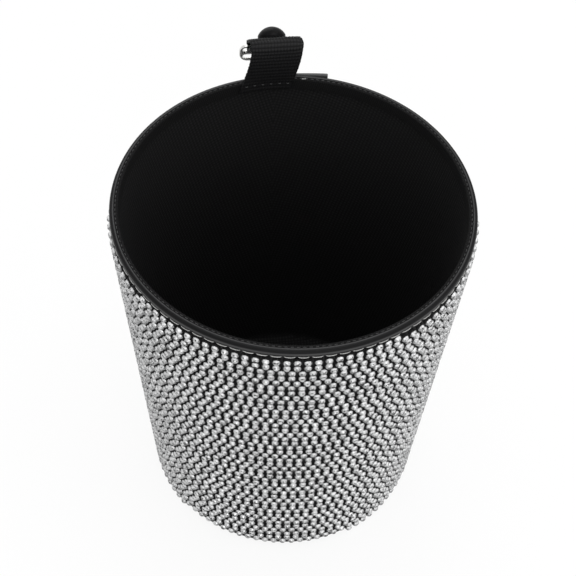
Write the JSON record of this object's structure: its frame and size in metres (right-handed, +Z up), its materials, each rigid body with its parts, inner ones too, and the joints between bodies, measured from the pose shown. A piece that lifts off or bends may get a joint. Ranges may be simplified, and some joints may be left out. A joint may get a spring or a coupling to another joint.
{
  "type": "car trash bin",
  "caption": "Tapered round car trash bin covered in rows of clear stones, with a taped rim, cloth lining and a webbing hanging strap closed by a press stud.",
  "frame": {"origin": "centre of the underside, on the surface that the bin stands on", "axes": "+Z up along the bin's axis, +Y towards the back with the hanging strap"},
  "size_m": [0.139, 0.1511, 0.1772],
  "materials": {
    "black_leathercloth": "semi-gloss grained",
    "shell_board": "matt",
    "lining_cloth": "plain weave",
    "stone_sheet": "faceted stones on black",
    "webbing": "ribbed",
    "nickel": "polished",
    "black_enamel": "gloss",
    "stud_metal": "satin"
  },
  "bodies": {
    "bin": {"base_cover": "black_leathercloth", "wall_shell": "shell_board", "base_board": "shell_board", "lining": "lining_cloth", "crystal_skin": "stone_sheet", "rim_binding": "black_leathercloth", "hanging_strap": "webbing", "stud_cap": "black_enamel", "stud_socket": "stud_metal", "stud_ball": "stud_metal", "stud_post": "stud_metal"},
    "slider": {"strap_slider": "nickel"}
  },
  "joints": [
    {"name": "slider_swing", "type": "hinge", "parent": "bin", "child": "slider", "pos_m": [0, 0.07917, 0.16415], "axis": [1, 0, 0], "range_deg": [-40, 110]}
  ]
}
